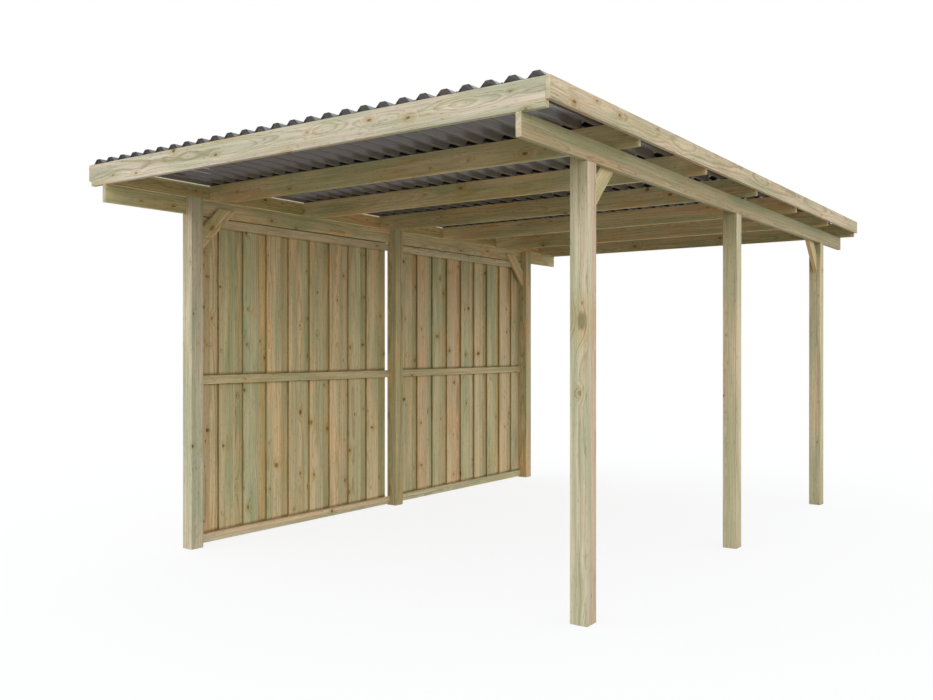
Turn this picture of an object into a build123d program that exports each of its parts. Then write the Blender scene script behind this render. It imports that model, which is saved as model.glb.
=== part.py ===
from build123d import *
import os
from math import cos, floor, radians, tan

# A timber carport with a flat roof: two rows of posts carry let-in edge beams,
# seven joists lie across the beams and carry a roof of trapezoid sheets.
# One row of posts is closed by a board-on-board wall.
# Millimetres, +Z up, ground at zero, the front at -Y and the wall at -X.

# Plan of the posts and of the roof
post_side = 88.0
row_spacing = 2722.0         # between the centres of the two rows of posts
bay_length = 1954.0          # between the centres of neighbouring posts in a row
end_overhang = 595.0         # roof beyond the centres of the end posts
side_overhang = 110.0        # joists beyond the outer faces of the posts

# Timber of the frame: beams, joists, braces and rails are cut from one plank
plank_thickness = 28.0
clear_height = 2071.0        # ground to the underside of the beams
beam_height = 102.0
joist_height = 122.0
joist_count = 7
fascia_thickness = 22.0
fascia_height = 92.0

# Knee braces at the corner posts
brace_width = 98.0
brace_angle = 45.0           # degrees from level
brace_drop = 234.0           # from the underside of the beam to the brace's toe
brace_lap = 55.0             # how far the brace laps the inner face of the beam

# Wall rails and boards
rail_height = 55.0
wall_ground_gap = 12.0
wall_top_gap = 6.0           # between the top rails and the underside of the beam
wall_beam_lap = 24.0         # boards above that underside, on the beam's outer face
wall_board_width = 132.0
wall_board_thickness = 16.0
boards_per_layer = 9
wall_post_lap = 11.0         # first board of a bay behind the face of its post
front_bay_gap = 9.0          # last board of the front bay short of the next post
rear_bay_lap = 5.0           # last board of the rear bay behind the face of the last post

# Trapezoid roof sheets, ridges from front to rear
sheet_thickness = 0.6        # measured upright
sheet_count = 3
crest_pitch = 112.2
crest_start = 71.0           # from the ends of the joists to the first crest
crest_width = 32.0
flank_width = 25.5
bend_radius = 8.0
sheet_depth = 25.0
sheet_wall_gap = 5.0         # to the fascia above the wall
sheet_open_gap = 3.0         # to the fascia on the open side, which cuts the last flank
sheet_lap_lip = 8.0          # flat strip beyond a lapped crest
sheet_lap_gap = 0.1

# Sizes that follow
row_x = row_spacing / 2
post_half = post_side / 2
outer_x = row_x + post_half
beam_inner_x = outer_x - plank_thickness
brace_inner_x = beam_inner_x - plank_thickness
joist_half = outer_x + side_overhang
fascia_outer_x = joist_half + fascia_thickness
roof_half = bay_length + end_overhang
joist_base = clear_height + beam_height
joist_top = joist_base + joist_height
post_places = {"front": -bay_length, "middle": 0.0, "rear": bay_length}
sides = {"left": -1, "right": 1}

os.makedirs("parts", exist_ok=True)


def block(x_span, y_span, z_span):
    spans = (x_span, y_span, z_span)
    middle = [(low + high) / 2 for low, high in spans]
    return Pos(*middle) * Box(*[high - low for low, high in spans])


def mirrored_span(side, inner, outer):
    return tuple(sorted((side * inner, side * outer)))


def save(name, shape):
    shape.label = name
    export_step(shape, f"parts/{name}.step")


# Posts, notched on the outer face so that the beam sits flush
def post(side, y):
    x_span = mirrored_span(side, row_x - post_half, outer_x)
    y_span = (y - post_half, y + post_half)
    shaft = block(x_span, y_span, (0, joist_base))
    notch = block(mirrored_span(side, beam_inner_x, outer_x), y_span, (clear_height, joist_base))
    return shaft - notch


for side_name, side in sides.items():
    for place, y in post_places.items():
        save(f"{place}_{side_name}_post", post(side, y))

# Edge beams, let into the posts and as long as the roof
for side_name, side in sides.items():
    x_span = mirrored_span(side, beam_inner_x, outer_x)
    save(f"{side_name}_beam", block(x_span, (-roof_half, roof_half), (clear_height, joist_base)))

# Joists on the beams; the first and the last close the ends of the roof
joist_names = ["front"] + [f"inner_{index}" for index in range(1, joist_count - 1)] + ["rear"]
joist_pitch = (2 * roof_half - plank_thickness) / (joist_count - 1)
for index, name in enumerate(joist_names):
    y = -roof_half + index * joist_pitch
    joist = block((-joist_half, joist_half), (y, y + plank_thickness), (joist_base, joist_top))
    save(f"{name}_joist", joist)

# Fascias on the ends of the joists, level with their tops
for side_name, side in sides.items():
    x_span = mirrored_span(side, joist_half, fascia_outer_x)
    fascia = block(x_span, (-roof_half, roof_half), (joist_top - fascia_height, joist_top))
    save(f"{side_name}_fascia", fascia)


# Knee braces: an upright cut against the post, a level cut on the beam's inner face
def brace(side, end):
    slope = tan(radians(brace_angle))
    edge_rise = brace_width / cos(radians(brace_angle))
    face = bay_length - post_half
    toe_z = clear_height - brace_drop
    head_z = clear_height + brace_lap
    heel_z = toe_z + edge_rise
    outline = [
        (face, toe_z),
        (face - (head_z - toe_z) / slope, head_z),
        (face - (head_z - heel_z) / slope, head_z),
        (face, heel_z),
    ]
    profile = make_face(Polyline(*[(end * y, z) for y, z in outline], close=True))
    start = min(mirrored_span(side, brace_inner_x, beam_inner_x))
    board = extrude(Plane.YZ * profile, plank_thickness, dir=(1, 0, 0))
    return Pos(start, 0, 0) * board


for side_name, side in sides.items():
    for place, end in (("front", -1), ("rear", 1)):
        save(f"{place}_{side_name}_brace", brace(side, end))

# Wall bays between the posts of the left row
rail_top = clear_height - wall_top_gap
board_top = clear_height + wall_beam_lap
bay_length_clear = bay_length - post_side
bay_starts = {"front_bay": -bay_length + post_half, "rear_bay": post_half}

# Rails between the posts, flush with their outer faces
top_rail_z = rail_top - rail_height
rail_bases = {
    "bottom": wall_ground_gap,
    "middle": (wall_ground_gap + top_rail_z) / 2,
    "top": top_rail_z,
}
for bay, start in bay_starts.items():
    for level, base in rail_bases.items():
        y_span = (start, start + bay_length_clear)
        rail = block((-outer_x, -beam_inner_x), y_span, (base, base + rail_height))
        save(f"{bay}_{level}_rail", rail)

# Boards in two layers on the rails and the beam; the outer layer covers the gaps of the inner one
bay_end_laps = {"front_bay": -front_bay_gap, "rear_bay": rear_bay_lap}


def board_layer(first_y, board_step, layer):
    inner_x = -outer_x - layer * wall_board_thickness
    boards = []
    for index in range(boards_per_layer):
        y = first_y + 2 * index * board_step
        x_span = (inner_x - wall_board_thickness, inner_x)
        boards.append(block(x_span, (y, y + wall_board_width), (wall_ground_gap, board_top)))
    return Compound(boards)


layer_order = {"front_bay": ("inner", "outer"), "rear_bay": ("outer", "inner")}
for bay, start in bay_starts.items():
    board_run = wall_post_lap + bay_length_clear + bay_end_laps[bay]
    board_step = (board_run - wall_board_width) / (2 * boards_per_layer - 1)
    for step, layer_name in enumerate(layer_order[bay]):
        first_y = start - wall_post_lap + step * board_step
        layer = ("inner", "outer").index(layer_name)
        save(f"{bay}_{layer_name}_boards", board_layer(first_y, board_step, layer))

# Roof sheets, each lapped sheet lying one thickness higher than its neighbours
cover_left = -joist_half + sheet_wall_gap
cover_right = joist_half - sheet_open_gap
foot_half = crest_width / 2 + flank_width
first_crest_x = -joist_half + crest_start
crest_total = floor((cover_right - crest_width / 2 - first_crest_x) / crest_pitch) + 1


def crest_x(index):
    return first_crest_x + index * crest_pitch


# The underside is a polyline with rounded bends, and the upper side is the same line one thickness higher
def sheet(first, last, left, right, base):
    wave = [(left, base)]
    for index in range(first, last + 1):
        centre = crest_x(index)
        wave.append((centre - foot_half, base))
        wave.append((centre - crest_width / 2, base + sheet_depth))
        wave.append((centre + crest_width / 2, base + sheet_depth))
        wave.append((centre + foot_half, base))
    wave.append((right, base))
    under = FilletPolyline(*wave, radius=bend_radius)
    upper = Pos(0, sheet_thickness) * under
    ends = [Line(under @ end, upper @ end) for end in (0, 1)]
    profile = make_face(under.edges() + upper.edges() + ends)
    rear = Plane.XZ.offset(-roof_half)
    whole = extrude(rear * profile, 2 * roof_half, dir=(0, -1, 0))
    cover = block((cover_left, cover_right), (-roof_half, roof_half), (base, base + sheet_depth + sheet_thickness))
    return whole & cover


sheet_names = ["left"] + ["middle"] * (sheet_count - 2) + ["right"]
for number in range(sheet_count):
    first = crest_total * number // sheet_count
    last = crest_total * (number + 1) // sheet_count - 1
    lapping = number % 2 == 1
    if lapping:
        first -= 1
        last += 1
    left = crest_x(first) - foot_half - sheet_lap_lip
    right = crest_x(last) + foot_half + sheet_lap_lip
    if number == 0:
        left = cover_left
    if number == sheet_count - 1:
        right = max(right, cover_right)
    base = joist_top + (sheet_thickness + sheet_lap_gap if lapping else 0)
    save(f"{sheet_names[number]}_roof_sheet", sheet(first, last, left, right, base))
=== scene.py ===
import bmesh
import bpy
import math
import random
from mathutils import Matrix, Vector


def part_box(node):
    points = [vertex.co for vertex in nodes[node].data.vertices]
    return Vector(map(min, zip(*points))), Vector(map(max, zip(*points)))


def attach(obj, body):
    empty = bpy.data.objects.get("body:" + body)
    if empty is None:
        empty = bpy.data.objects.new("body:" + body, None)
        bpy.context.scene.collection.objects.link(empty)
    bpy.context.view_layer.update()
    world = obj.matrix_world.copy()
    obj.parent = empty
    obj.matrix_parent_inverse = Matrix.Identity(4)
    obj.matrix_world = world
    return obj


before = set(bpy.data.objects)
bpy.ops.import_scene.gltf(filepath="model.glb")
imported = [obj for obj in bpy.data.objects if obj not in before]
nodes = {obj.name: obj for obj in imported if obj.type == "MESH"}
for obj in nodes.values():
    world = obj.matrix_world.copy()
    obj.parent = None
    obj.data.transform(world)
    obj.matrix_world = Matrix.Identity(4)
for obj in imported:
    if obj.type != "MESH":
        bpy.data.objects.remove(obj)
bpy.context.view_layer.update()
print("frame loaded:", len(nodes), "nodes")

sides = ("left", "right")
joistLabels = ("front", "inner_1", "inner_2", "inner_3", "inner_4", "inner_5", "rear")
railLevels = ("bottom", "middle", "top")
sheetParts = ("left", "middle", "right")
toneLabels = ("sapwood", "treated", "heartwood")
xAxis, yAxis, zAxis = (1.0, 0.0, 0.0), (0.0, 1.0, 0.0), (0.0, 0.0, 1.0)


# small helpers for shader trees: a value is a number, a tuple or another node's socket
def feed(tree, socket, value):
    if isinstance(value, bpy.types.NodeSocket):
        tree.links.new(value, socket)
    elif value is not None:
        socket.default_value = value


def addNode(tree, kind, inputs=None, **settings):
    made = tree.nodes.new(kind)
    for label, value in settings.items():
        setattr(made, label, value)
    for label, value in (inputs or {}).items():
        feed(tree, made.inputs[label], value)
    return made


def calc(tree, operation, *values):
    made = addNode(tree, "ShaderNodeMath", operation=operation)
    for socket, value in zip(made.inputs, values):
        feed(tree, socket, value)
    return made.outputs[0]


def vectorCalc(tree, operation, *values):
    made = addNode(tree, "ShaderNodeVectorMath", operation=operation)
    for socket, value in zip(made.inputs, values):
        feed(tree, socket, value)
    return made.outputs["Value" if operation in ("LENGTH", "DOT_PRODUCT") else "Vector"]


def combine(tree, x, y, z):
    return addNode(tree, "ShaderNodeCombineXYZ", {"X": x, "Y": y, "Z": z}).outputs[0]


def separate(tree, vector):
    return addNode(tree, "ShaderNodeSeparateXYZ", {"Vector": vector}).outputs


def separateColour(tree, colour):
    return addNode(tree, "ShaderNodeSeparateColor", {"Color": colour}).outputs


def coordinates(tree, kind):
    return addNode(tree, "ShaderNodeTexCoord").outputs[kind]


def facing(tree, way):
    return vectorCalc(tree, "DOT_PRODUCT", coordinates(tree, "Normal"), way)


def remap(tree, value, fromLow, fromHigh, toLow=0.0, toHigh=1.0, smooth=True):
    made = addNode(tree, "ShaderNodeMapRange", interpolation_type="SMOOTHSTEP" if smooth else "LINEAR")
    for label, part in (("Value", value), ("From Min", fromLow), ("From Max", fromHigh),
                        ("To Min", toLow), ("To Max", toHigh)):
        feed(tree, made.inputs[label], part)
    return made.outputs["Result"]


def mixColour(tree, factor, first, second, blend="MIX"):
    made = addNode(tree, "ShaderNodeMix", data_type="RGBA", blend_type=blend)
    for index, value in ((0, factor), (6, first), (7, second)):
        feed(tree, made.inputs[index], value)
    return made.outputs[2]


def tintBy(tree, factor, colour, tint):
    return mixColour(tree, factor, colour, opaque(tint), "MULTIPLY")


def shadeBy(tree, colour, shade):
    return mixColour(tree, 1.0, colour, combine(tree, shade, shade, shade), "MULTIPLY")


def rampOf(tree, factor, stops, interpolation="LINEAR"):
    made = addNode(tree, "ShaderNodeValToRGB", {"Fac": factor})
    band = made.color_ramp
    band.interpolation = interpolation
    while len(band.elements) < len(stops):
        band.elements.new(1.0)
    for element, (place, shade) in zip(band.elements, stops):
        element.position = place
        element.color = (shade, shade, shade, 1.0) if isinstance(shade, float) else opaque(shade)
    return made.outputs["Color"]


def noiseOf(tree, vector, stretch, detail=2.0, roughness=0.5):
    scaled = vectorCalc(tree, "MULTIPLY", vector, stretch)
    return addNode(tree, "ShaderNodeTexNoise", {"Vector": scaled, "Scale": 1.0, "Detail": detail,
                                                "Roughness": roughness}).outputs


def showSurface(tree, shader, kind="Material"):
    output = addNode(tree, "ShaderNodeOutput" + kind)
    tree.links.new(shader.outputs[0], output.inputs["Surface"])


def mixShaders(tree, factor, first, second):
    both = addNode(tree, "ShaderNodeMixShader", {"Fac": factor})
    tree.links.new(first.outputs[0], both.inputs[1])
    tree.links.new(second.outputs[0], both.inputs[2])
    return both


# colour code to the renderer's linear values
def paint(code):
    shares = [int(code[i:i + 2], 16) / 255 for i in (0, 2, 4)]
    return tuple(s / 12.92 if s <= 0.04045 else ((s + 0.055) / 1.055) ** 2.4 for s in shares)


def opaque(colour):
    return (*colour, 1.0)


def tinted(colour, tint):
    return tuple(part * share for part, share in zip(colour, tint))


def newGroup(name, inputs, outputs):
    tree = bpy.data.node_groups.new(name, "ShaderNodeTree")
    for label, kind in inputs:
        tree.interface.new_socket(label, in_out="INPUT", socket_type="NodeSocket" + kind)
    for label, kind in outputs:
        tree.interface.new_socket(label, in_out="OUTPUT", socket_type="NodeSocket" + kind)
    given = tree.nodes.new("NodeGroupInput").outputs
    result = tree.nodes.new("NodeGroupOutput").inputs
    return tree, given, result


def useGroup(tree, group, inputs):
    made = addNode(tree, "ShaderNodeGroup", node_tree=group)
    for label, value in inputs.items():
        feed(tree, made.inputs[label], value)
    return made.outputs


def newMaterial(name):
    material = bpy.data.materials.new(name)
    material.use_nodes = True
    tree = material.node_tree
    tree.nodes.clear()
    return material, tree


def wear(piece, material):
    piece.data.materials.clear()
    piece.data.materials.append(material)


# log: growth rings round a pith, with branches that start at the pith and push the rings aside
grainLook = {
    "seedShift": (3.71, 0.67, 0.43), "branchShift": 7.3,     # every seed is another log
    "waverStretch": (1.7, 2.5, 2.5), "waver": 0.060,         # drift of the pith, so faces show arches and ovals
    "rippleStretch": (9.0, 22.0, 22.0), "ripple": 0.006,
    "taper": 0.008,
    "branchRun": 2.6, "branchGirth": 0.75,                   # cells along the log and round it
    "branchScatter": 0.85, "branchRadii": (0.005, 0.013),
    "branchGrowth": 0.05, "branchStart": 0.5,                # share at the pith, full radius this far from it
    "knotFlatten": 0.52, "knotPush": 0.020, "knotCore": 0.35, "knotShades": (0.55, 1.0),
    "haloReach": 3.6, "haloCore": 0.5,
    "chosenCore": 0.4, "chosenThrough": 0.35,
    "ringBand": ((0.0, 0.0), (0.45, 0.10), (0.78, 1.0), (0.90, 0.85), (1.0, 0.0)),
    "ringDrift": 0.31, "ringUneven": 2.6, "yearShift": 19.0, "yearShades": (0.2, 1.0),
    "heartStretch": (2.4, 8.0, 8.0), "heartWander": 0.05, "heartBlend": (0.018, 0.012),
    "patches": ((2.2, 7.0, 7.0), 2.0, 0.55),                 # stretch, detail, roughness
    "noises": {
        "Fibre": ((9.0, 620.0, 620.0), 2.0, 0.6), "Streak": ((0.8, 46.0, 46.0), 3.0, 0.6),
        "Stripe": ((2.4, 170.0, 170.0), 2.0, 0.6), "Stain": ((1.3, 12.0, 12.0), 2.0, 0.55),
        "Honey": ((1.1, 26.0, 26.0), 1.0, 0.5), "Fleck": ((26.0, 190.0, 190.0), 1.0, 0.5),
    },
}
grainMasks = ("Late Wood", "Heart", "Fibre", "Streak", "Stripe", "Stain", "Blush", "Copper", "Honey",
              "Fleck", "Knot", "Halo")
noKnot = 9.0   # far from any chosen knot, in radii


def buildGrainGroup(look):
    tree, given, result = newGroup(
        "softwoodGrain",
        [("Grain", "Vector"), ("Seed", "Float"), ("Pith", "Vector"), ("Ring Gap", "Float"),
         ("Heart Radius", "Float"), ("Knot Share", "Float"), ("Chosen Knot", "Float"),
         ("Chosen Depth", "Float")],
        [(label, "Float") for label in grainMasks])
    seed = given["Seed"]
    along = separate(tree, given["Grain"])["X"]
    shift = combine(tree, *[calc(tree, "MULTIPLY", seed, share) for share in look["seedShift"]])
    place = vectorCalc(tree, "ADD", given["Grain"], shift)

    # the way from the pith
    drift = noiseOf(tree, place, look["waverStretch"])["Color"]
    drift = vectorCalc(tree, "SUBTRACT", drift, (0.5, 0.5, 0.5))
    drift = vectorCalc(tree, "MULTIPLY", drift, (0.0, look["waver"], look["waver"]))
    section = vectorCalc(tree, "SUBTRACT", given["Grain"], given["Pith"])
    section = vectorCalc(tree, "ADD", section, drift)
    section = vectorCalc(tree, "MULTIPLY", section, (0.0, 1.0, 1.0))
    fromPith = vectorCalc(tree, "LENGTH", section)
    outward = vectorCalc(tree, "NORMALIZE", section)

    # branches, one in each cell at most
    girth = look["branchGirth"]
    cellAlong = calc(tree, "MULTIPLY_ADD", seed, look["branchShift"], along)
    cellAlong = calc(tree, "MULTIPLY", cellAlong, look["branchRun"])
    cellPlace = vectorCalc(tree, "ADD", vectorCalc(tree, "MULTIPLY", outward, (0.0, girth, girth)),
                           combine(tree, cellAlong, 0.0, 0.0))
    cells = addNode(tree, "ShaderNodeTexVoronoi", {"Vector": cellPlace, "Scale": 1.0,
                                                   "Randomness": look["branchScatter"]}, feature="F1").outputs
    chance = separateColour(tree, cells["Color"])
    branchWay = vectorCalc(tree, "MULTIPLY", cells["Position"], (0.0, 1.0, 1.0))
    branchWay = vectorCalc(tree, "NORMALIZE", branchWay)
    aside = vectorCalc(tree, "LENGTH", vectorCalc(tree, "SUBTRACT", outward, branchWay))
    aside = calc(tree, "MULTIPLY", aside, fromPith)
    ahead = calc(tree, "SUBTRACT", cellAlong, separate(tree, cells["Position"])["X"])
    ahead = calc(tree, "MULTIPLY", ahead, look["knotFlatten"] / look["branchRun"])
    distance = vectorCalc(tree, "LENGTH", combine(tree, ahead, aside, 0.0))
    present = calc(tree, "LESS_THAN", chance[1], given["Knot Share"])
    grown = remap(tree, fromPith, 0.0, look["branchGrowth"], look["branchStart"], 1.0, smooth=False)
    radius = calc(tree, "MULTIPLY", present, remap(tree, chance[0], 0.0, 1.0, *look["branchRadii"]))
    radius = calc(tree, "MULTIPLY", radius, grown)

    def radiusTimes(share):
        return calc(tree, "MULTIPLY", radius, share)

    shade = remap(tree, chance[2], 0.0, 1.0, *look["knotShades"], smooth=False)
    knot = calc(tree, "MULTIPLY", remap(tree, distance, radius, radiusTimes(look["knotCore"])), shade)
    halo = remap(tree, distance, radiusTimes(look["haloReach"]), radiusTimes(look["haloCore"]))
    chosen = remap(tree, given["Chosen Knot"], 1.0, look["chosenCore"], 0.0, given["Chosen Depth"])
    knot = calc(tree, "MAXIMUM", knot, chosen)
    chosenHalo = remap(tree, given["Chosen Knot"], look["haloReach"], look["haloCore"])
    halo = calc(tree, "MAXIMUM", halo, chosenHalo)

    # rings: pale early wood that darkens to a line of late wood
    ripple = calc(tree, "SUBTRACT", noiseOf(tree, place, look["rippleStretch"])[0], 0.5)
    reach = calc(tree, "MULTIPLY_ADD", ripple, look["ripple"], fromPith)
    reach = calc(tree, "MULTIPLY_ADD", halo, look["knotPush"], reach)
    ringReach = calc(tree, "MULTIPLY_ADD", along, look["taper"], reach)
    count = calc(tree, "DIVIDE", ringReach, given["Ring Gap"])
    drifting = calc(tree, "MULTIPLY_ADD", count, look["ringDrift"], seed)
    uneven = addNode(tree, "ShaderNodeTexNoise", {"W": drifting, "Scale": 1.0, "Detail": 1.0},
                     noise_dimensions="1D").outputs[0]
    count = calc(tree, "MULTIPLY_ADD", uneven, look["ringUneven"], count)
    band = rampOf(tree, calc(tree, "FRACT", count), look["ringBand"])
    year = calc(tree, "ADD", calc(tree, "FLOOR", count), calc(tree, "MULTIPLY", seed, look["yearShift"]))
    strength = addNode(tree, "ShaderNodeTexWhiteNoise", {"W": year}, noise_dimensions="1D").outputs["Value"]
    late = calc(tree, "MULTIPLY", band, remap(tree, strength, 0.0, 1.0, *look["yearShades"], smooth=False))

    # heartwood with a wandering edge
    wander = calc(tree, "SUBTRACT", noiseOf(tree, place, look["heartStretch"])[0], 0.5)
    heartReach = calc(tree, "MULTIPLY_ADD", wander, look["heartWander"], reach)
    beyond, within = look["heartBlend"]
    heart = remap(tree, heartReach, calc(tree, "ADD", given["Heart Radius"], beyond),
                  calc(tree, "SUBTRACT", given["Heart Radius"], within))

    patches = separateColour(tree, noiseOf(tree, place, *look["patches"])["Color"])
    for label, mask in (("Late Wood", late), ("Heart", heart), ("Blush", patches[1]), ("Copper", patches[2]),
                        ("Knot", knot), ("Halo", halo)):
        feed(tree, result[label], mask)
    for label, noise in look["noises"].items():
        feed(tree, result[label], noiseOf(tree, place, *noise)[0])
    return tree


# finish: pressure-treated softwood, green in the sapwood and rosy in the heartwood
finishLook = {
    "stainFrom": (0.40, 0.60), "honeyFrom": (0.60, 0.80), "honeyTint": (1.04, 0.90, 0.70),
    "blushFrom": (0.48, 0.70), "blushTint": (1.12, 0.89, 0.76),
    "copperFrom": (0.48, 0.70), "copperTint": (0.78, 0.90, 0.88),
    "lateTint": (0.54, 0.46, 0.32), "haloTint": (0.92, 0.83, 0.69),
    "fleckFrom": (0.60, 0.78), "fleckTint": (0.66, 0.58, 0.44),
    "streakFrom": (0.25, 0.75), "streak": (0.87, 1.12),
    "fineFrom": (0.3, 0.7), "stripe": (0.85, 1.13), "fibre": (0.93, 1.07), "roughness": (0.52, 0.72),
    "fibreRelief": 0.5, "ringRelief": 0.5,
}


def buildFinishGroup(look):
    tree, given, result = newGroup(
        "treatedFinish",
        [(label, "Float") for label in grainMasks]
        + [("Sapwood", "Color"), ("Treated", "Color"), ("Heartwood", "Color"), ("Knot Tint", "Color"),
           ("Ring Depth", "Float"), ("Patch Depth", "Float"), ("Stripe Depth", "Float")],
        [("Color", "Color"), ("Roughness", "Float"), ("Height", "Float")])
    stained = remap(tree, given["Stain"], *look["stainFrom"])
    wood = mixColour(tree, stained, given["Sapwood"], given["Treated"])
    wood = mixColour(tree, given["Heart"], wood, given["Heartwood"])
    wood = tintBy(tree, remap(tree, given["Honey"], *look["honeyFrom"]), wood, look["honeyTint"])
    for label in ("blush", "copper"):
        patch = remap(tree, given[label.capitalize()], *look[label + "From"], 0.0, given["Patch Depth"])
        wood = tintBy(tree, patch, wood, look[label + "Tint"])
    ringFactor = calc(tree, "MULTIPLY", given["Late Wood"], given["Ring Depth"])
    wood = tintBy(tree, ringFactor, wood, look["lateTint"])
    wood = tintBy(tree, remap(tree, given["Fleck"], *look["fleckFrom"]), wood, look["fleckTint"])

    # fine stripes along the grain
    shade = remap(tree, given["Streak"], *look["streakFrom"], *look["streak"], smooth=False)
    for label in ("stripe", "fibre"):
        finer = remap(tree, given[label.capitalize()], *look["fineFrom"], *look[label], smooth=False)
        shade = calc(tree, "MULTIPLY", shade, finer)
    shade = calc(tree, "MULTIPLY_ADD", calc(tree, "SUBTRACT", shade, 1.0), given["Stripe Depth"], 1.0)
    wood = shadeBy(tree, wood, shade)
    wood = tintBy(tree, given["Halo"], wood, look["haloTint"])
    wood = mixColour(tree, given["Knot"], wood, given["Knot Tint"], "MULTIPLY")
    roughness = remap(tree, given["Fibre"], *look["fineFrom"], *look["roughness"], smooth=False)
    relief = calc(tree, "MULTIPLY_ADD", given["Fibre"], look["fibreRelief"],
                  calc(tree, "MULTIPLY", given["Late Wood"], look["ringRelief"]))
    feed(tree, result["Color"], wood)
    feed(tree, result["Roughness"], roughness)
    feed(tree, result["Height"], relief)
    return tree


grainGroup = buildGrainGroup(grainLook)
finishGroup = buildFinishGroup(finishLook)
print("timber groups ready")

woodTones = {
    "sapwood": paint("d6ccb2"), "treated": paint("c0bfa0"), "heartwood": paint("d6c0a5"),
    "bumpStrength": 0.25, "bumpDepth": 0.0006, "specular": 0.35,
    "endsFrom": (0.6, 0.9),   # sawn ends keep no tint
}
woodTints = {
    "plain": (1.0, 1.0, 1.0), "straw": (1.05, 1.0, 0.93), "sage": (0.90, 0.95, 0.86),
    "olive": (0.88, 0.86, 0.72), "rose": (1.07, 0.97, 0.88), "mist": (0.85, 0.93, 0.88),
    "honey": (1.10, 0.94, 0.70), "tan": (1.04, 0.96, 0.76), "moss": (0.72, 0.74, 0.60),
    "wheat": (1.22, 1.12, 0.89), "pale": (1.18, 1.15, 1.04), "ash": (0.98, 0.97, 1.05),
    "clay": (0.97, 0.89, 0.84), "dun": (0.98, 0.91, 0.72),
}


def finishTimber(tree, grain, colours, look):  # colours: Sapwood, Treated and Heartwood
    finish = useGroup(tree, finishGroup, {
        **{socket.name: socket for socket in grain}, **colours,
        "Knot Tint": opaque(look["knotTint"]), "Ring Depth": look["ringDepth"],
        "Patch Depth": look["patchDepth"], "Stripe Depth": look["stripeDepth"]})
    bump = addNode(tree, "ShaderNodeBump", {
        "Strength": woodTones["bumpStrength"], "Distance": woodTones["bumpDepth"], "Height": finish["Height"]})
    showSurface(tree, addNode(tree, "ShaderNodeBsdfPrincipled", {
        "Base Color": finish["Color"], "Roughness": finish["Roughness"], "Normal": bump.outputs[0],
        "Specular IOR Level": woodTones["specular"]}))


def grainAxes(tree, centre, along, across, through):
    place = vectorCalc(tree, "SUBTRACT", coordinates(tree, "Object"), tuple(centre))
    return combine(tree, *[vectorCalc(tree, "DOT_PRODUCT", place, axis) for axis in (along, across, through)])


# chosen knots are given as (along, across, through) from the middle of the timber's box, with a radius
def nearestKnot(tree, grain, knots):
    squeeze = (grainLook["knotFlatten"], 1.0, grainLook["chosenThrough"])
    nearest = noKnot
    for spot, radius in knots:
        away = vectorCalc(tree, "SUBTRACT", grain, spot)
        away = vectorCalc(tree, "MULTIPLY", away, tuple(share / radius for share in squeeze))
        nearest = calc(tree, "MINIMUM", vectorCalc(tree, "LENGTH", away), nearest)
    return nearest


arrisLook = {"weld": 0.00001, "flatAngle": 1.0, "edgeAngle": 30.0, "segments": 2}


def easeArrises(piece, width):
    weld = piece.modifiers.new("weld", "WELD")
    weld.merge_threshold = arrisLook["weld"]
    flatten = piece.modifiers.new("flatten", "DECIMATE")
    flatten.decimate_type = "DISSOLVE"
    flatten.angle_limit = math.radians(arrisLook["flatAngle"])
    bevel = piece.modifiers.new("arris", "BEVEL")
    bevel.width = width
    bevel.segments = arrisLook["segments"]
    bevel.limit_method = "ANGLE"
    bevel.angle_limit = math.radians(arrisLook["edgeAngle"])


# what the frame's timbers share
plankLook = {
    "arris": 0.0025, "ringGap": 0.0075, "ringDepth": 0.60, "stripeDepth": 1.0, "seedSpan": (1.0, 40.0),
    "knotShare": 0.25, "knotTint": (0.31, 0.25, 0.17), "knotDepth": 0.7, "knots": (), "chosen": {},
}
logs = random.Random(23)


# cut: where the pith lies from the timber's middle (across, through), how far its heartwood reaches, its tint
def drawCut(look, name):
    seed = round(logs.uniform(*look["seedSpan"]), 2)
    across = logs.uniform(-1.0, 1.0) * look["pithAcross"]
    through = logs.choice((-1.0, 1.0)) * logs.uniform(*look["pithThrough"])
    heart = logs.uniform(*look["heart"])
    tint = logs.choice(look["tints"])
    chosen = look["chosen"].get(name, {})
    return {"seed": seed, "pith": (across, through), "heart": heart, "tint": tint, **chosen}


def dressTimber(name, look, along, across, through):
    look = {**look, **drawCut(look, name)}
    piece = nodes[name]
    low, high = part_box(name)
    material, tree = newMaterial(name + "_timber")
    axes = grainAxes(tree, (low + high) / 2, along, across, through)
    grain = useGroup(tree, grainGroup, {
        "Grain": axes, "Seed": look["seed"], "Pith": (0.0, *look["pith"]), "Ring Gap": look["ringGap"],
        "Heart Radius": look["heart"], "Knot Share": look["knotShare"],
        "Chosen Knot": nearestKnot(tree, axes, look["knots"]), "Chosen Depth": look["knotDepth"]})
    sawnEnd = remap(tree, calc(tree, "ABSOLUTE", facing(tree, along)), *woodTones["endsFrom"])
    tint = woodTints[look["tint"]]
    colours = {label.capitalize(): mixColour(tree, sawnEnd, opaque(tinted(woodTones[label], tint)),
                                             opaque(woodTones[label]))
               for label in toneLabels}
    # painted shade: darker towards one end of the timber, and only on faces that point one way where a facing
    # is given
    if "paintedShade" in look:
        paintedShadeMask = remap(tree, separate(tree, axes)["X"], *look["paintedShadeFrom"])
        if "paintedShadeFacing" in look:
            toward = remap(tree, facing(tree, look["paintedShadeFacing"]), *look["paintedShadeTurn"])
            paintedShadeMask = calc(tree, "MULTIPLY", paintedShadeMask, toward)
        colours = {label: tintBy(tree, paintedShadeMask, tone, look["paintedShade"]) for label, tone in colours.items()}
    finishTimber(tree, grain, colours, look)
    wear(piece, material)
    easeArrises(piece, look["arris"])
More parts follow.
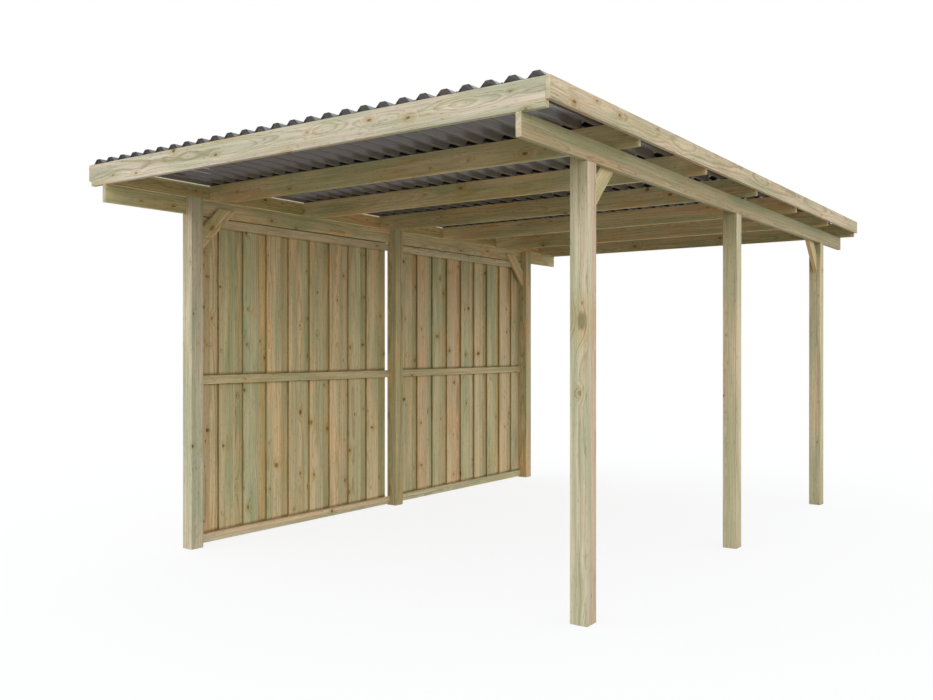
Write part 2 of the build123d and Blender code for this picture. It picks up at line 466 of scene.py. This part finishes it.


# posts: the open row's heads get painted shade on their front faces, in place of deep shade under the roof
postHeadShade = {"paintedShade": (0.70, 0.69, 0.62), "paintedShadeFrom": (0.62, 0.96),
             "paintedShadeFacing": (0.0, -1.0, 0.0), "paintedShadeTurn": (0.3, 0.9)}
postLook = {
    **plankLook, "arris": 0.003, "patchDepth": 0.3,
    "pithAcross": 0.03, "pithThrough": (0.02, 0.07), "heart": (0.02, 0.05), "tints": ("plain",),
    "chosen": {
        "front_right_post": {
            **postHeadShade, "pith": (0.045, 0.03), "heart": 0.040, "ringDepth": 0.85, "patchDepth": 0.1,
            "knotDepth": 0.85, "knotTint": (0.42, 0.45, 0.40),
            "knots": (((0.272, 0.016, -0.044), 0.029), ((0.352, 0.018, -0.044), 0.007),
                      ((-0.049, 0.006, -0.044), 0.009)),
        },
        "middle_right_post": {**postHeadShade, "tint": "straw", "heart": 0.0},
        "rear_right_post": {**postHeadShade, "tint": "straw", "heart": 0.0},
        "front_left_post": {"heart": 0.0},
        "middle_left_post": {"tint": "dun", "patchDepth": 0.7},
        "rear_left_post": {"tint": "tan", "patchDepth": 0.7},
    },
}
for place in ("front", "middle", "rear"):
    for side in sides:
        dressTimber(f"{place}_{side}_post", postLook, zAxis, xAxis, yAxis)

beamLook = {
    **plankLook, "patchDepth": 0.9,
    "pithAcross": 0.04, "pithThrough": (0.03, 0.08), "heart": (0.02, 0.06), "tints": ("tan",),
    "chosen": {
        # the right beam's dark moss tint is partly its own tone and partly painted shade under the overhang
        "right_beam": {"tint": "moss", "patchDepth": 0.3, "ringDepth": 0.9, "knotShare": 0.0},
        "left_beam": {"tint": "wheat", "knots": (((-1.287, -0.017, 0.014), 0.010),
                                                 ((-1.063, -0.044, 0.014), 0.009))},
    },
}
for side in sides:
    dressTimber(f"{side}_beam", beamLook, yAxis, zAxis, xAxis)

# joists: painted shade beyond the open row of posts, in place of deep shade under the eaves
joistEndShade = {"paintedShade": (0.80, 0.78, 0.74), "paintedShadeFrom": (1.36, 1.44)}
joistLook = {
    **plankLook, "patchDepth": 0.7,
    "pithAcross": 0.05, "pithThrough": (0.04, 0.09), "heart": (0.02, 0.05), "tints": ("tan",),
    "chosen": {
        "front_joist": {
            "pith": (0.012, 0.05), "heart": 0.01, "tint": "ash", "ringDepth": 0.75, "patchDepth": 0.2,
            "knotDepth": 0.8, "knotTint": (0.30, 0.28, 0.22),
            "knots": (((0.610, 0.016, -0.014), 0.009), ((0.832, -0.005, -0.014), 0.010),
                      ((-0.425, -0.013, -0.014), 0.009), ((-1.304, -0.019, -0.014), 0.006),
                      ((-1.091, -0.031, -0.014), 0.008)),
        },
        "inner_1_joist": joistEndShade,
        "inner_2_joist": {**joistEndShade, "tint": "wheat"},
        "inner_3_joist": joistEndShade,
        "inner_4_joist": {**joistEndShade, "tint": "wheat"},
        "inner_5_joist": {**joistEndShade, "tint": "wheat"},
    },
}
for label in joistLabels:
    dressTimber(f"{label}_joist", joistLook, xAxis, zAxis, yAxis)

fasciaLook = {
    **plankLook, "arris": 0.001, "ringGap": 0.0070, "ringDepth": 0.55, "patchDepth": 0.35,
    "pithAcross": 0.03, "pithThrough": (0.03, 0.06), "heart": (0.03, 0.06), "tints": ("straw",),
    "chosen": {
        "left_fascia": {"tint": "wheat", "patchDepth": 0.9},
        "right_fascia": {
            "pith": (0.02, -0.07), "heart": 0.0, "tint": "clay", "ringDepth": 0.75, "knotDepth": 0.8,
            "knots": (((-2.357, -0.018, 0.011), 0.010), ((-1.945, 0.011, 0.011), 0.008),
                      ((-2.161, 0.027, 0.011), 0.007)),
        },
    },
}
for side in sides:
    dressTimber(f"{side}_fascia", fasciaLook, yAxis, zAxis, xAxis)

braceLook = {
    **plankLook, "angle": 45.0, "patchDepth": 0.5,
    "pithAcross": 0.03, "pithThrough": (0.03, 0.07), "heart": (0.02, 0.05), "tints": ("tan",),
    "chosen": {
        "front_left_brace": {"tint": "wheat", "knots": (((-0.024, 0.0475, 0.014), 0.017),)},
        "rear_left_brace": {"tint": "wheat"},
    },
}
lean = math.radians(braceLook["angle"])
for place, end in (("front", -1.0), ("rear", 1.0)):
    along = (0.0, -end * math.cos(lean), math.sin(lean))
    across = (0.0, end * math.sin(lean), math.cos(lean))
    for side in sides:
        dressTimber(f"{place}_{side}_brace", braceLook, along, across, xAxis)

railLook = {
    **plankLook, "ringGap": 0.0070, "ringDepth": 0.55, "patchDepth": 0.5,
    "pithAcross": 0.03, "pithThrough": (0.03, 0.07), "heart": (0.02, 0.05), "tints": ("tan",),
    "chosen": {f"{bay}_bay_{level}_rail": {"tint": "pale"}
               for bay in ("front", "rear") for level in ("bottom", "top")},
}
for bay in ("front", "rear"):
    for level in railLevels:
        dressTimber(f"{bay}_bay_{level}_rail", railLook, yAxis, zAxis, xAxis)
print("frame timbers dressed")

# wall boards: every board of a layer is cut from another log, tints run from front to rear
boardLook = {
    "arris": 0.0015, "width": 0.132, "ringGap": 0.0095, "ringDepth": 0.65, "knotShare": 0.42,
    "knotTint": (0.26, 0.20, 0.13), "patchDepth": 0.5, "stripeDepth": 0.6,
    "seedStep": 4.7, "pithSpan": (0.10, 0.11), "heart": (-0.02, 0.05),
    # tones lighter than the frame's: painted light for the shaded inner side of the wall
    "sapwood": paint("e6d6b0"), "treated": paint("cbc7a2"), "heartwood": paint("e0caa6"),
    # painted shade on the boards' side edges
    "edgeShadeTint": (0.62, 0.52, 0.36), "edgeShadeTurn": (0.5, 0.9),
    "outerTint": (0.80, 0.84, 0.87), "outerTurn": (-0.5, -0.9),               # outer side darker and greyer, back from the painted light of the lighter tones on the inner side
    "railShadeTint": (0.46, 0.38, 0.28), "railShadeAbove": 0.024, "railShadeBelow": 0.014,   # painted shade along the rails
    "railShadeBelowShare": 0.5, "railShadeTurn": (0.3, 0.7),
    "layers": {
        "front_bay_inner_boards": (3.0, "olive sage mist straw rose straw rose sage straw"),
        "front_bay_outer_boards": (61.0, "straw olive honey olive sage olive straw olive olive"),
        "rear_bay_outer_boards": (173.0, "straw olive sage olive rose straw olive honey straw"),
        "rear_bay_inner_boards": (117.0, "straw straw sage straw sage straw sage straw plain"),
    },
}


def measureBoards(name, look):
    low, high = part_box(name)
    count = len(look["layers"][name][1].split())
    return low, high, count, (high.y - low.y - look["width"]) / (count - 1)


def railsBehind(name):
    bay = name[:name.index("_bay")]
    return [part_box(f"{bay}_bay_{level}_rail") for level in railLevels]


def dressBoards(name, look):
    low, high, count, step = measureBoards(name, look)
    firstSeed, tintNames = look["layers"][name]
    material, tree = newMaterial(name + "_timber")
    place = separate(tree, coordinates(tree, "Object"))
    normal = separate(tree, coordinates(tree, "Normal"))
    fromFirst = calc(tree, "SUBTRACT", place["Y"], low.y)
    index = calc(tree, "FLOOR", calc(tree, "DIVIDE", fromFirst, step))
    across = calc(tree, "SUBTRACT", calc(tree, "MULTIPLY_ADD", index, -step, fromFirst), look["width"] / 2)
    through = calc(tree, "SUBTRACT", place["X"], (low.x + high.x) / 2)
    seed = calc(tree, "MULTIPLY_ADD", index, look["seedStep"], firstSeed)
    draw = addNode(tree, "ShaderNodeTexWhiteNoise", {"W": seed}, noise_dimensions="1D")
    luck = separateColour(tree, draw.outputs["Color"])
    pith = [remap(tree, luck[axis], 0.0, 1.0, -span / 2, span / 2, smooth=False)
            for axis, span in enumerate(look["pithSpan"])]
    grain = useGroup(tree, grainGroup, {
        "Grain": combine(tree, place["Z"], across, through), "Seed": seed,
        "Pith": combine(tree, 0.0, *pith), "Ring Gap": look["ringGap"],
        "Heart Radius": remap(tree, luck[2], 0.0, 1.0, *look["heart"], smooth=False),
        "Knot Share": look["knotShare"], "Chosen Knot": noKnot, "Chosen Depth": 0.0})

    # each board's tint, with painted shade on the side edges, and greyer on the outer side than on the inner
    # side's painted light
    share = calc(tree, "DIVIDE", calc(tree, "ADD", index, 0.5), float(count))
    stops = [(number / count, woodTints[label]) for number, label in enumerate(tintNames.split())]
    tint = rampOf(tree, share, stops, "CONSTANT")
    edgeShade = remap(tree, calc(tree, "ABSOLUTE", normal["Y"]), *look["edgeShadeTurn"])
    tint = tintBy(tree, edgeShade, tint, look["edgeShadeTint"])
    tint = tintBy(tree, remap(tree, normal["X"], *look["outerTurn"]), tint, look["outerTint"])

    # painted shade above and below each rail, in place of deep shade, on the inner side only
    railShade = 0.0
    for under, over in railsBehind(name):
        upper = calc(tree, "GREATER_THAN", place["Z"], (under.z + over.z) / 2)
        lower = calc(tree, "MULTIPLY_ADD", upper, -look["railShadeBelowShare"], look["railShadeBelowShare"])
        above = calc(tree, "MULTIPLY", remap(tree, place["Z"], over.z + look["railShadeAbove"], over.z), upper)
        below = calc(tree, "MULTIPLY", remap(tree, place["Z"], under.z - look["railShadeBelow"], under.z), lower)
        railShade = calc(tree, "MAXIMUM", railShade, calc(tree, "MAXIMUM", above, below))
    railShade = calc(tree, "MULTIPLY", railShade, remap(tree, normal["X"], *look["railShadeTurn"]))
    tint = tintBy(tree, railShade, tint, look["railShadeTint"])
    colours = {label.capitalize(): mixColour(tree, 1.0, opaque(look[label]), tint, "MULTIPLY")
               for label in toneLabels}
    finishTimber(tree, grain, colours, look)
    wear(nodes[name], material)
    easeArrises(nodes[name], look["arris"])


for name in boardLook["layers"]:
    dressBoards(name, boardLook)
print("wall boards dressed")

# roof: dark coated steel sheet, semi-gloss above and a paler coat underneath
sheetLook = {
    "colour": paint("555456"), "underColour": paint("6c696e"), "underTurn": (-0.05, 0.05),
    "cloudStretch": (0.9, 0.5, 0.9), "cloudDetail": 3.0, "cloudFrom": (0.3, 0.7),
    "shades": (0.92, 1.08), "roughness": (0.45, 0.55), "coatRoughness": 0.22,
    "peelStretch": (900.0, 900.0, 900.0), "peelDetail": 1.0, "peelStrength": 0.05, "peelDepth": 0.0002,
    # painted shade under the ridges behind each joist: its tint, lead, reach and rise
    "ridgeShadeTint": (0.12, 0.11, 0.10), "ridgeShadeLead": 0.01, "ridgeShadeReach": (0.15, 0.09), "ridgeShadeRise": (0.006, 0.013),
}


def dressSheets(look):
    material, tree = newMaterial("coated_sheet")
    place = coordinates(tree, "Object")
    cloud = noiseOf(tree, place, look["cloudStretch"], look["cloudDetail"])[0]
    shade = remap(tree, cloud, *look["cloudFrom"], *look["shades"], smooth=False)
    roughness = remap(tree, cloud, *look["cloudFrom"], *look["roughness"], smooth=False)
    upward = remap(tree, facing(tree, zAxis), *look["underTurn"])
    coat = mixColour(tree, upward, opaque(look["underColour"]), opaque(look["colour"]))
    coat = shadeBy(tree, coat, shade)

    # painted shade under the ridges where they cross the joists, in place of deep shade, but not at the open
    # front
    spot = separate(tree, place)
    first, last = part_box("front_joist"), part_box("rear_joist")
    pitch = (last[0].y - first[0].y) / (len(joistLabels) - 1)
    behind = calc(tree, "SUBTRACT", spot["Y"], first[0].y - look["ridgeShadeLead"])
    behind = calc(tree, "FRACT", calc(tree, "DIVIDE", behind, pitch))
    behind = calc(tree, "MULTIPLY", behind, pitch)
    rise = calc(tree, "SUBTRACT", spot["Z"], first[1].z)
    ridgeShade = calc(tree, "MULTIPLY", remap(tree, behind, *look["ridgeShadeReach"]), remap(tree, rise, *look["ridgeShadeRise"]))
    ridgeShade = calc(tree, "MULTIPLY", ridgeShade, calc(tree, "SUBTRACT", 1.0, upward))
    ridgeShade = calc(tree, "MULTIPLY", ridgeShade, calc(tree, "GREATER_THAN", spot["Y"], first[0].y + pitch / 2))
    coat = tintBy(tree, ridgeShade, coat, look["ridgeShadeTint"])
    peel = noiseOf(tree, place, look["peelStretch"], look["peelDetail"])[0]
    bump = addNode(tree, "ShaderNodeBump", {
        "Strength": look["peelStrength"], "Distance": look["peelDepth"], "Height": peel})
    showSurface(tree, addNode(tree, "ShaderNodeBsdfPrincipled", {
        "Base Color": coat, "Roughness": roughness, "Normal": bump.outputs[0],
        "Specular IOR Level": 0.0, "Coat Roughness": look["coatRoughness"],
        "Coat Weight": calc(tree, "SUBTRACT", 1.0, ridgeShade)}))   # all gloss is in the coat, and it is taken away where the shade is painted
    for part in sheetParts:
        wear(nodes[f"{part}_roof_sheet"], material)
    return material


coatedSheet = dressSheets(sheetLook)
print("roof sheets dressed")


def addPiece(name, mesh, material):
    data = bpy.data.meshes.new(name)
    mesh.to_mesh(data)
    mesh.free()
    data.materials.append(material)
    piece = bpy.data.objects.new(name, data)
    bpy.context.scene.collection.objects.link(piece)
    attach(piece, "root")
    return piece


# roof screws: painted hex heads on washers, in every second valley over each joist
roofScrewLook = {
    "firstRidge": -1.444, "ridgePitch": 0.1122, "valleys": range(0, 26, 2), "sheetThickness": 0.0006,
    "washerRadius": 0.0065, "washerTaper": 0.9, "washerHeight": 0.0016,
    "flangeRadius": 0.0056, "flangeShare": 0.6,              # its height as a share of the washer's
    "headRadius": 0.0042, "headTaper": 0.94, "headHeight": 0.0052, "roundSides": 12, "hexSides": 6,
}


def buildRoofScrews(look, material):
    mesh = bmesh.new()
    washer, flange, head = look["washerRadius"], look["flangeRadius"], look["headRadius"]
    rounds = (
        (look["roundSides"], washer, washer * look["washerTaper"], look["washerHeight"]),
        (look["roundSides"], flange, head, look["washerHeight"] * look["flangeShare"]),
        (look["hexSides"], head, head * look["headTaper"], look["headHeight"]),
    )
    sheets = {part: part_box(f"{part}_roof_sheet") for part in sheetParts}
    middleLow, middleHigh = sheets["middle"]
    for label in joistLabels:
        low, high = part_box(f"{label}_joist")
        for valley in look["valleys"]:
            x = look["firstRidge"] + (valley + 0.5) * look["ridgePitch"]
            part = "left" if x < middleLow.x else "middle" if x < middleHigh.x else "right"
            z = sheets[part][0].z + look["sheetThickness"]
            for segments, foot, top, height in rounds:
                spot = Matrix.Translation((x, (low.y + high.y) / 2, z + height / 2))
                bmesh.ops.create_cone(mesh, cap_ends=True, segments=segments, radius1=foot, radius2=top,
                                      depth=height, matrix=spot)
                z += height
    addPiece("roof_screws", mesh, material)


buildRoofScrews(roofScrewLook, coatedSheet)

# wall screws: flat zinc heads on the outer side, two in each board at every rail
wallScrewLook = {
    "headRadius": 0.0042, "headTaper": 0.86, "headRise": 0.0007, "headSides": 12,
    "spread": {"inner": 0.017, "outer": 0.044},
    "colour": paint("a9a8a2"), "cloudStretch": (90.0, 90.0, 90.0), "cloudFrom": (0.3, 0.7),
    "shades": (0.8, 1.15), "roughness": (0.34, 0.52),
}


def zincSteel(look):
    material, tree = newMaterial("zinc_steel")
    cloud = noiseOf(tree, coordinates(tree, "Object"), look["cloudStretch"])[0]
    shade = remap(tree, cloud, *look["cloudFrom"], *look["shades"], smooth=False)
    roughness = remap(tree, cloud, *look["cloudFrom"], *look["roughness"], smooth=False)
    showSurface(tree, addNode(tree, "ShaderNodeBsdfPrincipled", {
        "Base Color": shadeBy(tree, opaque(look["colour"]), shade), "Metallic": 1.0, "Roughness": roughness}))
    return material


def buildWallScrews(look):
    mesh = bmesh.new()
    outward = Matrix.Rotation(math.radians(-90.0), 4, "Y")
    for name in boardLook["layers"]:
        low, _, count, step = measureBoards(name, boardLook)
        spread = look["spread"]["inner" if "inner" in name else "outer"]
        for under, over in railsBehind(name):
            for number in range(count):
                middle = low.y + number * step + boardLook["width"] / 2
                for y in (middle - spread, middle + spread):
                    spot = Matrix.Translation((low.x - look["headRise"] / 2, y, (under.z + over.z) / 2))
                    bmesh.ops.create_cone(mesh, cap_ends=True, segments=look["headSides"],
                                          radius1=look["headRadius"],
                                          radius2=look["headRadius"] * look["headTaper"],
                                          depth=look["headRise"], matrix=spot @ outward)
    addPiece("wall_screws", mesh, zincSteel(look))


buildWallScrews(wallScrewLook)
print("screws placed")

# floor: looks white and keeps a faint shadow, but throws little light back
floorLook = {"half": 60.0, "bounceColour": paint("b0a99b"), "seenColour": paint("f2f2f2"),
             "whiteShare": 0.86, "fade": (3.0, 8.0)}


def seenDirectly(tree):
    path = addNode(tree, "ShaderNodeLightPath").outputs
    return calc(tree, "MAXIMUM", calc(tree, "MAXIMUM", path["Is Camera Ray"], path["Is Glossy Ray"]),
                path["Is Transmission Ray"])


def buildFloor(look):
    bpy.ops.mesh.primitive_plane_add(size=2 * look["half"])
    floor = bpy.context.object
    floor.name = "floor"
    material, tree = newMaterial("studio_floor")
    seen = seenDirectly(tree)
    away = vectorCalc(tree, "LENGTH", coordinates(tree, "Object"))
    fade = calc(tree, "MULTIPLY", remap(tree, away, *look["fade"], look["whiteShare"], 1.0), seen)
    colour = mixColour(tree, seen, opaque(look["bounceColour"]), opaque(look["seenColour"]))
    matt = addNode(tree, "ShaderNodeBsdfDiffuse", {"Color": colour})
    white = addNode(tree, "ShaderNodeEmission", {"Color": (1.0, 1.0, 1.0, 1.0), "Strength": 1.0})
    showSurface(tree, mixShaders(tree, fade, matt, white))
    floor.data.materials.append(material)


buildFloor(floorLook)

# dome: brightest near the horizon and in front
lightLook = {"horizon": (1.0, 0.985, 0.95), "zenith": (0.66, 0.69, 0.73), "rise": 0.75, "strength": 1.62,
             "frontShare": 1.14, "rearShare": 0.86}


def buildDome(look):
    world = bpy.data.worlds.new("studio")
    bpy.context.scene.world = world
    world.use_nodes = True
    tree = world.node_tree
    tree.nodes.clear()
    way = separate(tree, coordinates(tree, "Generated"))
    height = remap(tree, way["Z"], 0.0, look["rise"])
    sky = mixColour(tree, height, opaque(look["horizon"]), opaque(look["zenith"]))
    level = remap(tree, way["Y"], -1.0, 1.0, look["strength"] * look["frontShare"],
                  look["strength"] * look["rearShare"], smooth=False)
    dome = addNode(tree, "ShaderNodeBackground", {"Color": sky, "Strength": level})
    white = addNode(tree, "ShaderNodeBackground", {"Color": (1.0, 1.0, 1.0, 1.0), "Strength": 1.0})
    showSurface(tree, mixShaders(tree, seenDirectly(tree), dome, white), "World")


buildDome(lightLook)
bpy.context.scene.view_settings.view_transform = "Standard"
print("floor and dome ready")

# camera: low on the open side, in front of the roof's corner
cameraLook = {"place": (3.326, -5.6338, 1.2345), "turn": 35.3227, "tilt": -0.0707,
              "lens": 35.52, "sensor": 36.0}
camera = bpy.data.objects.new("camera", bpy.data.cameras.new("camera"))
bpy.context.scene.collection.objects.link(camera)
camera.location = cameraLook["place"]
camera.rotation_euler = (math.radians(90.0 + cameraLook["tilt"]), 0.0, math.radians(cameraLook["turn"]))
camera.data.lens = cameraLook["lens"]
camera.data.sensor_width = cameraLook["sensor"]
bpy.context.scene.camera = camera
print("camera ready")
